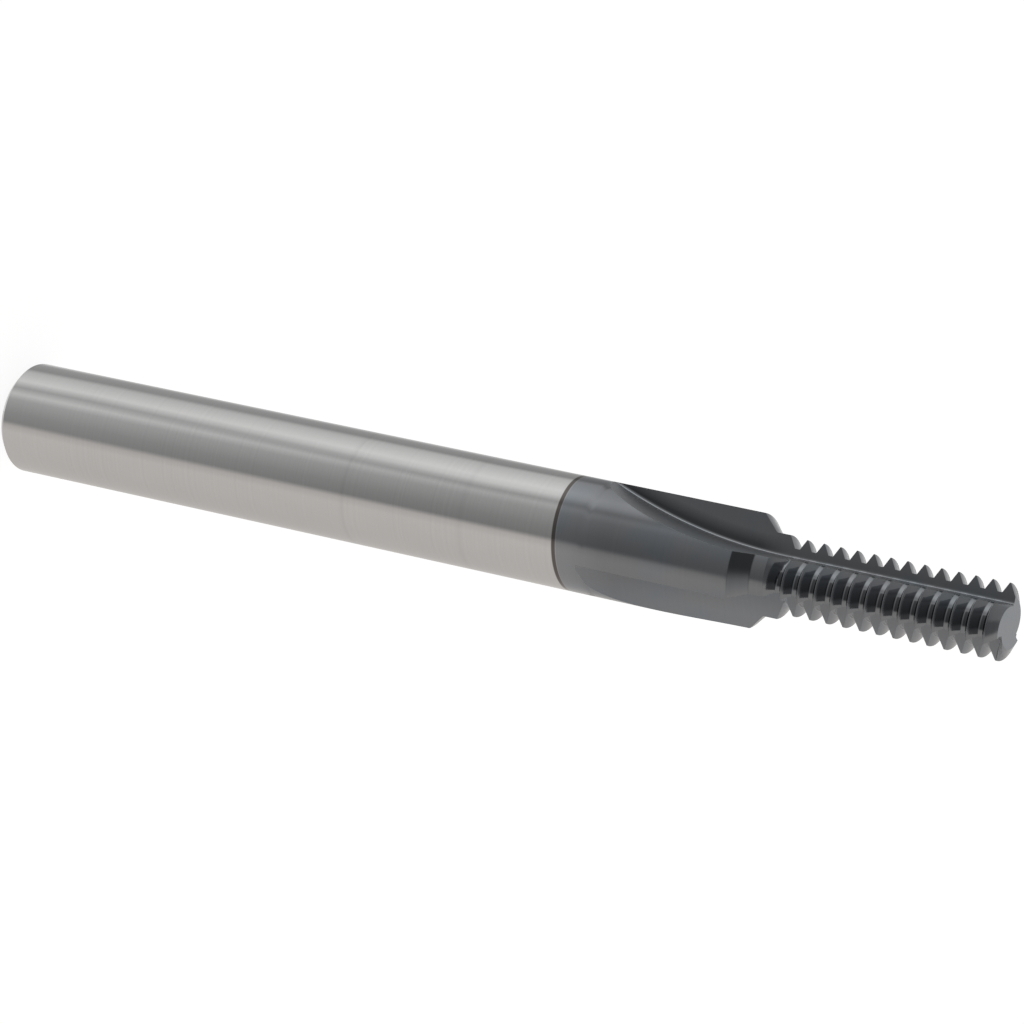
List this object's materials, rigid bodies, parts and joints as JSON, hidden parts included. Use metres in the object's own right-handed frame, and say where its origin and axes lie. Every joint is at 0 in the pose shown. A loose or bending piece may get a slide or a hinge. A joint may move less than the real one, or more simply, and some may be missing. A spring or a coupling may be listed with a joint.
{
  "type": "thread mill",
  "caption": "Solid carbide thread mill with a plain round shank, straight flutes and rows of relieved 60 degree teeth, coated on the cutting end.",
  "frame": {"origin": "centre of the flat end face of the shank", "axes": "+Z along the tool's axis, from the shank end to the cutting tip; the first cutting edge is turned 63 degrees from +X about +Z"},
  "size_m": [0.0064, 0.0064, 0.0635],
  "materials": {
    "carbide": "ground, with a dark grey coating on the cutting end"
  },
  "bodies": {
    "root": {"thread_mill": "carbide"}
  },
  "joints": []
}
